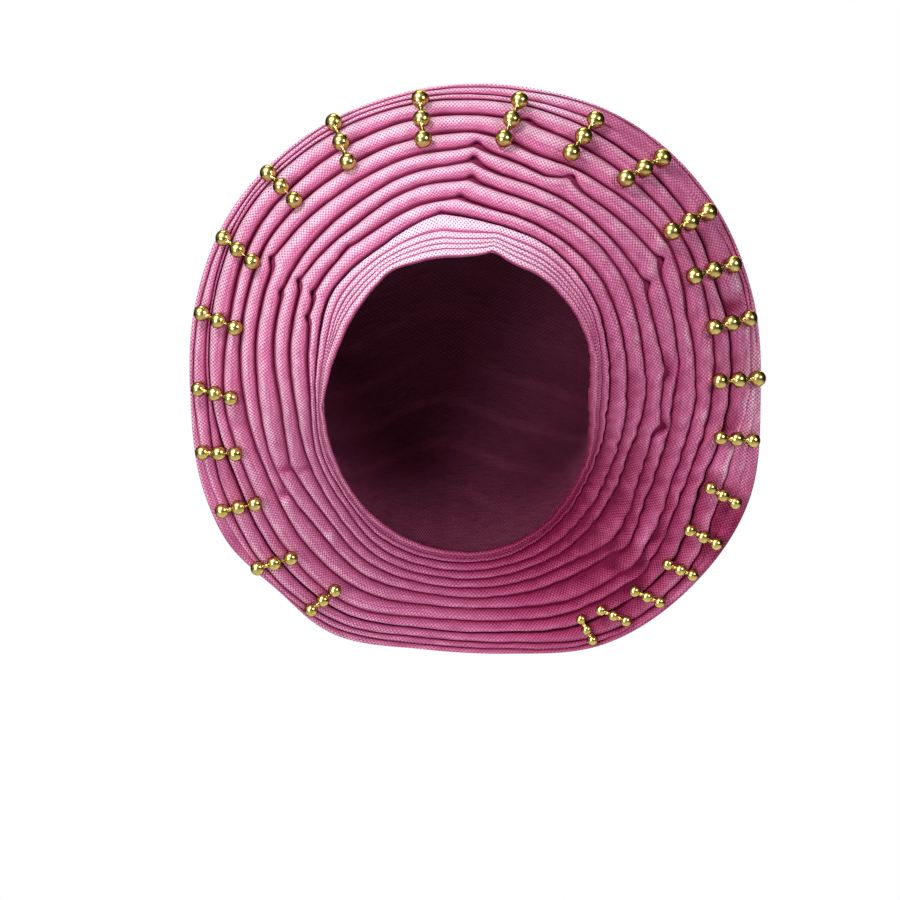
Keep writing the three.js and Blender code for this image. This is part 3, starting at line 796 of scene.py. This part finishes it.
# %% [markdown]
# ## The face band
# Narrow pleats frame the face, each lying on the next, and the innermost is turned in. Above the brow they
# lie open under a painted highlight, and at the temples they are pressed into two or three lines. The pleat
# fan's function makes them too, with shallow folds: the same cloth is only folded more narrowly.

# %% Face band
# Share of the band's width at each narrow crest, over the brow and at the temples.
BROW_LINES = [0.22, 0.37, 0.52, 0.72, 1.0]
TEMPLE_LINES = [0.42, 0.48, 0.54, 0.60, 1.0]
BAND_STEPS = 7  # rows across a narrow pleat
BAND_PER_PITCH, BAND_LEAST, BAND_MOST = 1.1, 0.3, 3.0  # a crease's depth per width, and its limits in mm
BAND_CUT, BAND_THICK = (0.5, 0.028), 0.45  # the flat size in metres, and mm
inner, outer = fold_radius("face_edge", angle), fold_radius("band_edge", angle)
aside = np.clip((np.abs(angle) - 35) / 40, 0, 1) ** 2
gable = 0.16 * bell(angle, -4, 13)  # the lines lie lower under the gable over the brow
brow = [line * (1 - gable) if line < 1 else line for line in BROW_LINES]
shares = [b * (1 - aside) + t * aside for b, t in zip(brow, TEMPLE_LINES)]
crests = [inner + (outer - inner) * share for share in shares]
starts = [inner] + crests[:-1]
pitches = [crest - start for crest, start in zip(crests, starts)]
deeps = [np.clip(BAND_PER_PITCH * pitch, BAND_LEAST, BAND_MOST) * (1 - 0.75 * aside) for pitch in pitches]
edges = [EDGE_SHARE * deep for deep in deeps]
roots = [start - 0.1 * pitch * (1 - aside) + 0.1 * aside for start, pitch in zip(starts, pitches)]
roots[0], deeps[0] = inner, deeps[0] * 0.6
tuck, end = (inner - 0.2, deeps[0] + 1.0), (outer - 0.8, 4.0 + 0 * outer)
r, drop, v, u, tone = pleated(
    angle, [""] * 5, crests, roots, deeps, edges, [wear_and_highlight] * 5, tuck, end, BAND_STEPS)
print("narrowest pleat of the band:", round(float(min(pitch.min() for pitch in pitches)), 2), "mm")

# %% Hem of the face band
hem_r, hem_d = np.stack([inner + 0.5, inner - 0.1]), np.stack([deeps[0] + 4.5, deeps[0] + 2.6])
hem_v = v[:1] - np.array([[3.4], [1.6]]) * MM
# Painted shade on the turned-in hem.
hem_shade = np.broadcast_to([[-0.9], [-0.5]], hem_r.shape)
hem_u = np.broadcast_to(u[0], hem_r.shape)
tone[0] = -0.1
rows = [np.concatenate(pair) for pair in zip((hem_r, hem_d, hem_v, hem_u, hem_shade), (r, drop, v, u, tone))]
# A painted highlight on the band over the brow, where its pleats lie open.
pale = 0.6 * bell(angle, -6, 42)  # the open side over the brow
tone = rows[-1]
rows[-1] = np.where(tone > -0.45, tone * (1 - 0.6 * pale) + pale, tone * (1 - 0.25 * pale))
folded_sheet("face_band", angle, rows, BAND_CUT, BAND_THICK)

# %% [markdown]
# ## The border
# The outer border is folded narrow at the upper left and opens into a wide flat band on the right, where
# its middle crease is pressed out for a stretch. It could be part of the fan's sheet. As a sheet of its own
# it can have its own creases come and go: a share from 1 to nearly 0 presses a crease out.

# %% Border and rim
BORDER = ["border_1", "border_2", "rim"]
BORDER_CUT, BORDER_THICK = (0.86, 0.035), 0.5  # the flat size in metres, and mm
# Of each fold, its crease's depth at most, in mm, and per width, and the same of its outer edge.
BORDER_DEPTHS = [(4.5, 0.8), (3.5, 0.9), (3.0, 0.9)]
BORDER_EDGES = [(2.0, 0.45), (1.8, 0.45), (1.5, 0.4)]
FIRST_DEEPER = 1.5  # mm, the crease between fan and border
crests = [fold_radius(name, angle) for name in BORDER]
starts = [fold_radius("pleat_7", angle)] + crests[:-1]
pitches = [np.maximum(crest - start, 0.8) for crest, start in zip(crests, starts)]
# The stretches without a crease at the first and at the second fold.
smooth_1 = 1 - 0.97 * bell(angle, 43, 17, 6) - 0.8 * bell(angle, 91, 18, 6)
smooth_2 = 1 - 0.97 * bell(angle, 108, 40, 6) - 0.8 * bell(angle, -118, 26, 6)
flats = [1.0, smooth_1, smooth_2, 1.0]  # before the first fold, between the folds and after the last
deeps, edges = ([np.minimum(most, per * pitch) * flat for (most, per), pitch, flat in zip(*of_each)]
                for of_each in ((BORDER_DEPTHS, pitches, flats), (BORDER_EDGES, pitches, flats[1:])))
deeps[0] = deeps[0] + FIRST_DEEPER
roots = [starts[0] + 0.4 * plump(angle), starts[1] + 0.35, starts[2] + 0.3]
# The flat stretch at the upper right gets almost no wear or painted highlight.
plain = 1 - 0.9 * bell(angle, 48, 25, 6)  # the flat stretch at the upper right isn't rubbed
wears_and_highlights = [wear_and_highlight * smooth_1, wear_and_highlight * plain, wear_and_highlight]
tuck, end = (starts[0] - 4.0, deeps[0] + 2.0), (crests[-1] - 4.0, 3.4 + 0 * angle)
rows = pleated(angle, BORDER, crests, roots, deeps, edges, wears_and_highlights, tuck, end, FAN_STEPS)
print("border width:", " to ".join(f"{f(crests[-1] - starts[0]):.1f}" for f in (np.min, np.max)), "mm")

# %% Painted light and shade of the border
row = np.arange(len(rows[0]))[:, None]  # the folds are rows 1 to 11, 12 to 22 and 23 to 33
# Each patch is painted light: highlights on the right, on the flat band and right of the top, and shade low on
# the right, on the left, at the upper right and where the rim bends in at the lower left.
# Rows, tone, and the bell round a clock angle: the angle, its half width in degrees and its power.
PAINTED_LIGHT_PATCHES = [
    (np.exp(-((row - 8.5) / 1.8) ** 2), 0.5, 108, 36, 4),  # a painted highlight on the first fold's edge on the right
    (np.clip((row - 14) / 4, 0, 1), -0.85, 117, 9, 4),  # a dark wedge low on the right
    (row > 13, 0.35, 86, 13, 2),  # the flat band is paler above it
    (row < 12, -0.5, -76, 30, 4),  # the first fold lies in shade on the left
    (row >= 0, 0.3, 17, 7, 2),  # a pale stretch right of the top, and a deeper one after it
    (row >= 0, -0.22, 31, 9, 2),
    (row < 30, -0.1, 52, 20, 4),  # the flat stretch at the upper right is a little deeper
    (np.clip((row - 24) / 5, 0, 1), -0.6, -122, 4.5, 2),  # a dark spot where the rim bends in, lower left
]
tone = rows[-1]
tone = np.where((row > 8) & (row < 17), tone * smooth_1, tone)
tone = np.where((row > 19) & (row < 28), tone * smooth_2, tone)
for where, amount, at, width, power in PAINTED_LIGHT_PATCHES:
    tone = tone + amount * bell(angle, at, width, power) * where
rows[-1] = tone
folded_sheet("rim_folds", angle, rows, BORDER_CUT, BORDER_THICK)

# %% [markdown]
# ## The crown wrap
# Behind the fan the cloth lies close over the crown and is drawn to the nape in turns, one over the next.
# Each turn could be a strip of its own. Here one closed cap carries them as low steps, so that nothing
# shows through. In each of its columns a cubic Bezier curve runs from the face edge to a pole at the back.

# %% Form of the crown
CROWN_POLE_X, CROWN_POLE_DEPTH, CROWN_POLE_UP = -3.0, 103.0, 21.0  # mm
CROWN_RISE, CROWN_REACH = 0.8, 0.13  # how fast the curve swells and goes back, as shares
CROWN_INSET, BAND_WALL = 1.6, 2.9  # mm behind the band's edge
CROWN_AROUND, CROWN_ROWS = 280, 120  # columns and rows
CROWN_END = 0.985  # where the last row lies on the curve, short of the pole
crown_angle = np.linspace(-180, 180, CROWN_AROUND, endpoint=False)
start_r = row_at(FOLDS["face_edge"], crown_angle) + CROWN_INSET
start = to_space(crown_angle, start_r, crest_depth(crown_angle, start_r) + BAND_WALL) / MM
axis_z = FACE_CENTRE[2] + CROWN_POLE_UP
away = np.stack([start[:, 0] - CROWN_POLE_X, start[:, 2] - axis_z], axis=-1)
far = np.linalg.norm(away, axis=-1)
away = away / far[:, None]
swell = row_at(SECTIONS["crown_swell"], crown_angle)
rise = far + CROWN_RISE * (swell - far)
over = (swell - far / 8) * 8 / 3 - rise  # puts the curve's middle at the swell
reach_y = start[:, 1] + CROWN_REACH * (CROWN_POLE_DEPTH - start[:, 1])
s = np.linspace(0, CROWN_END, CROWN_ROWS)[:, None]
weights = [(1 - s) ** 3, 3 * (1 - s) ** 2 * s, 3 * (1 - s) * s ** 2, s ** 3]
distance = weights[0] * far + weights[1] * rise + weights[2] * over
depth_y = weights[0] * start[:, 1] + weights[1] * reach_y + (weights[2] + weights[3]) * CROWN_POLE_DEPTH
x, z = away[:, 0] * distance, away[:, 1] * distance
print("crown:", round(float(distance.max()), 1), "mm at its widest from the axis")

# %% Turns of the crown wrap
WRAP_PITCH, WRAP_STEP = 24.0, 1.5  # mm, a turn's width and thickness
GATHER = 0.003  # share of the distance from the axis
CROWN_CUT, CROWN_THICK = (0.32, 0.3), 1.0  # the flat size in metres, and mm
a = np.radians(crown_angle)
# The turns slope down to the back from both sides: a sawtooth across the slope, with soft steps.
slope = z + 0.5 * np.sqrt((x + 6) ** 2 + 12 ** 2) + 1.5 * np.sin(0.09 * x) + 0.12 * depth_y
turns = slope / WRAP_PITCH
share = turns - np.floor(turns)
step = np.minimum(share, (1 - share) * 4)
calm = np.clip(s / 0.12, 0, 1) * np.clip((CROWN_END - s) / 0.1, 0, 1)  # 0 at the face edge and at the pole
gather = np.sin(17 * a + 5 * s) + 0.7 * np.sin(29 * a - 3 * s + 1.3)
raised = WRAP_STEP * (step - 0.4)
swollen = 1 + calm * (raised / np.maximum(far, 1) + GATHER * gather)
points = np.stack([
    CROWN_POLE_X + x * swollen, depth_y + calm * raised * s, axis_z + z * swollen], axis=-1) * MM
pole = np.array([CROWN_POLE_X, CROWN_POLE_DEPTH, axis_z]) * MM
run = np.linalg.norm(np.diff(points, axis=0, append=pole[None, None].repeat(CROWN_AROUND, axis=1)), axis=-1)
run = run[::-1].cumsum(axis=0)[::-1]
uv = np.stack([run * np.sin(a), run * np.cos(a)], axis=-1)
# The tone paints shade into the crease of each turn and a highlight on its raised step.
crease_shade = 0.75 * np.exp(-((1 - share) / 0.05) ** 2) + 0.4 * np.exp(-(share / 0.05) ** 2)
tone = calm * (0.35 * (step - 0.55) - crease_shade)
crown_wrap = grid_mesh("crown_wrap_cloth", points, uv, tone, (None, pole), seam=False)
# The crown's inside gets the dark cloth, painted shade.
cloth_piece(crown_wrap, "crown_wrap", CROWN_CUT, CROWN_THICK, shaded_inside_of_the_crown)

# %% [markdown]
# ## The knot
# The two ends of the cloth are tied at the nape and tucked in. The photograph doesn't show it, so it is
# kept plain. A knot could be traced as a tube that goes over and under itself. What would show of it is a
# firm roll, drawn in on both sides of its middle and gathered into ripples: a lathe form along X with two
# waists.

# %% Nape knot
KNOT_SUNK = 8.0  # mm that the knot is pressed into the folds
KNOT_ROWS, KNOT_AROUND = 74, 96
KNOT_FIT = 0.97  # of the solid's box, so that the ripples stay inside it
WAIST_AT, WAIST_WIDTH, WAIST_DEEP = 0.36, 0.09, 0.16  # per half length, per half length and per girth
low, high = (np.array(c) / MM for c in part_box("nape_knot"))
low = low - [0, KNOT_SUNK, 0]
centre, half = (low + high) / 2, (high - low) / 2
t = np.sin(np.linspace(-math.pi / 2, math.pi / 2, KNOT_ROWS))[1:-1, None]
b = np.linspace(0, TURN, KNOT_AROUND, endpoint=False)
girth = np.maximum(1 - np.abs(t) ** 2.6, 0) ** 0.5
waist = 1 - WAIST_DEEP * np.exp(-((np.abs(t) - WAIST_AT) / WAIST_WIDTH) ** 2)
ripple = 1 + 0.035 * np.sin(13 * b + 2.2 * t) * np.abs(t) ** 0.5 + 0.02 * np.sin(7 * b - 3 * t)
grow = girth * waist * ripple * KNOT_FIT
points = np.stack([centre[0] + half[0] * t + 0 * b, centre[1] + half[1] * grow * np.cos(b),
                   centre[2] + half[2] * grow * np.sin(b)], axis=-1) * MM
uv = np.stack([np.broadcast_to(b * 14 * MM, grow.shape), np.broadcast_to(t * 30 * MM, grow.shape)], axis=-1)
ends = [(centre + [side * half[0], 0, 0]) * MM for side in (-1, 1)]
# The ripples get painted light: paler where they stand out, painted shade between them.
nape_knot = grid_mesh("nape_knot_cloth", points, uv, (ripple - 1) * 6 * girth, ends)
nape_knot.data.materials.append(pink_cloth)
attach(nape_knot, "root")
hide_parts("nape_knot")
print("knot:", len(nape_knot.data.polygons), "faces, half size", half.round(1), "mm")

# %% [markdown]
# ## The gilt
# The beads are light plastic balls, plated with a thin bright gold. To the eye that is a metal: it takes
# its looks from what it mirrors, and its shader keeps the default IOR. A plain gold would look like paint.
# A faint cloud in its colour and its roughness makes it look plated. A dark specular tint paints a dark
# rim on each ball, a painted reflection of dark surroundings.

# %% Gilt
CLOUD_SIZE = 3.3  # mm, the size of the cloudy patches of a thin plating
CLOUD_ROUGH = (0.0, 1.0, 0.16, 0.3)  # from the cloud's low and high to a roughness, low and high


def gilt(name):
    """A plated gold: a warm metal whose roughness and colour vary a little over a few millimetres."""
    material, tree = new_material(name)
    spot = add(tree, "TexCoord")
    cloud = add(tree, "TexNoise", [
        ("Vector", spot.outputs["Object"]), ("Scale", 1 / (CLOUD_SIZE * MM)), ("Detail", 2.0)])
    skin = add(tree, "BsdfPrincipled", [
        ("Base Color", mixed(tree, cloud, "#bba24c", "#e2d189")), ("Metallic", 1.0),
        ("Roughness", ranged(tree, cloud, CLOUD_ROUGH)),
        # A dark specular tint paints the rim dark, a painted reflection of dark surroundings.
        ("Specular Tint", "#1c1c30")])  # a metal's specular tint is its colour at a glancing angle
    add(tree, "OutputMaterial", [("Surface", skin)])
    print(f"{name}: {len(tree.nodes)} nodes")
    return material


gold = gilt("gilt_plated_bead")

# %% [markdown]
# ## The beads
# Three beads on a thread are sewn across the outer pleats, 24 times. Blender's own spheres could be placed
# one by one. A lathe gives a whole row in one piece: its profile runs over three circles and two thin
# links, and its place, direction and size are measured on the solid that it stands for.

# %% A row measured
def row_of(solid):
    """Middle, axis, bead radius and half the distance of the outer beads, from the points of a row's solid.

    The axis is the direction in which the points spread most, and it points away from the face.
    """
    mean = solid.mean(axis=0)
    _, _, axes = np.linalg.svd(solid - mean, full_matrices=False)
    axis = axes[0] * np.sign(axes[0] @ (mean - FACE_CENTRE))
    t = (solid - FACE_CENTRE) @ axis
    middle = mean + axis * ((t.max() + t.min()) / 2 - t.mean())
    away = solid - middle
    bead = np.linalg.norm(away - (away @ axis)[:, None] * axis, axis=-1).max()
    return middle, axis, bead, (t.max() - t.min()) / 2 - bead


def drawn_in(middle):
    """A row's middle in perspective. The solids lie where the photograph shows them, seen without it.

    A row in front of the face centre, at depth y < 0, is drawn in by the share y / camera distance, and
    follows the slope of the cloth.
    """
    across, up = middle[0], middle[2] - FACE_CENTRE[2]
    clock, far = math.degrees(math.atan2(across, up)), math.hypot(across, up)
    drawn = 1 + min(middle[1], 0.0) / CAMERA_DISTANCE
    sink = crest_depth(clock, far * drawn) - crest_depth(clock, far)
    return FACE_CENTRE + (middle - FACE_CENTRE) * [drawn, 1, drawn] + [0, sink, 0]


# %% Rows of three beads
BEAD_ROWS, BEAD_SIDES, BEAD_RINGS = 24, 28, 17  # rows, faces round a bead and rings over it
LINK, THREAD = 1.1, 0.3  # mm, the radius of a link and of the bare thread
ONE_LINK = 8  # the first rows, on the left, have a link between the outer two beads only


def bead_row(number):
    """A lathe: the circles of three beads, cut off where a link sets in, and turned round the row's axis."""
    node = f"bead_trio_{number:02d}"
    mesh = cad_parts[node].data
    flat = np.empty(len(mesh.vertices) * 3)
    mesh.vertices.foreach_get("co", flat)
    middle, axis, bead, span = row_of(flat.reshape(-1, 3) / MM)
    middle = drawn_in(middle)
    links = (THREAD if number <= ONE_LINK else LINK, LINK)
    cuts = [math.asin(link / bead) for link in links]
    tip = math.pi / (BEAD_RINGS - 1)
    f = [np.linspace(tip, math.pi - cuts[0], BEAD_RINGS - 1),
         np.linspace(cuts[0], math.pi - cuts[1], BEAD_RINGS),
         np.linspace(cuts[1], math.pi - tip, BEAD_RINGS - 1)]
    height = np.concatenate([centre - bead * np.cos(k) for centre, k in zip((-span, 0, span), f)])
    girth = bead * np.sin(np.concatenate(f))
    side = np.cross(axis, [0.0, 1.0, 0.0])
    side = side / np.linalg.norm(side)
    b = np.linspace(0, TURN, BEAD_SIDES, endpoint=False)
    ring = np.cos(b)[:, None] * side + np.sin(b)[:, None] * np.cross(axis, side)
    points = (middle + height[:, None, None] * axis + girth[:, None, None] * ring) * MM
    ends = [(middle + axis * (span + bead) * way) * MM for way in (-1, 1)]
    uv = np.stack(np.broadcast_arrays(b * bead * MM, height[:, None] * MM), axis=-1)
    piece = grid_mesh(node + "_beads", points, uv, poles=ends)
    piece.data.materials.append(gold)
    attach(piece, "root")
    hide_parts(node)
    return bead


sizes = [bead_row(k + 1) for k in range(BEAD_ROWS)]
print("bead radii:", " ".join(f"{x:.1f}" for x in sizes), "mm")
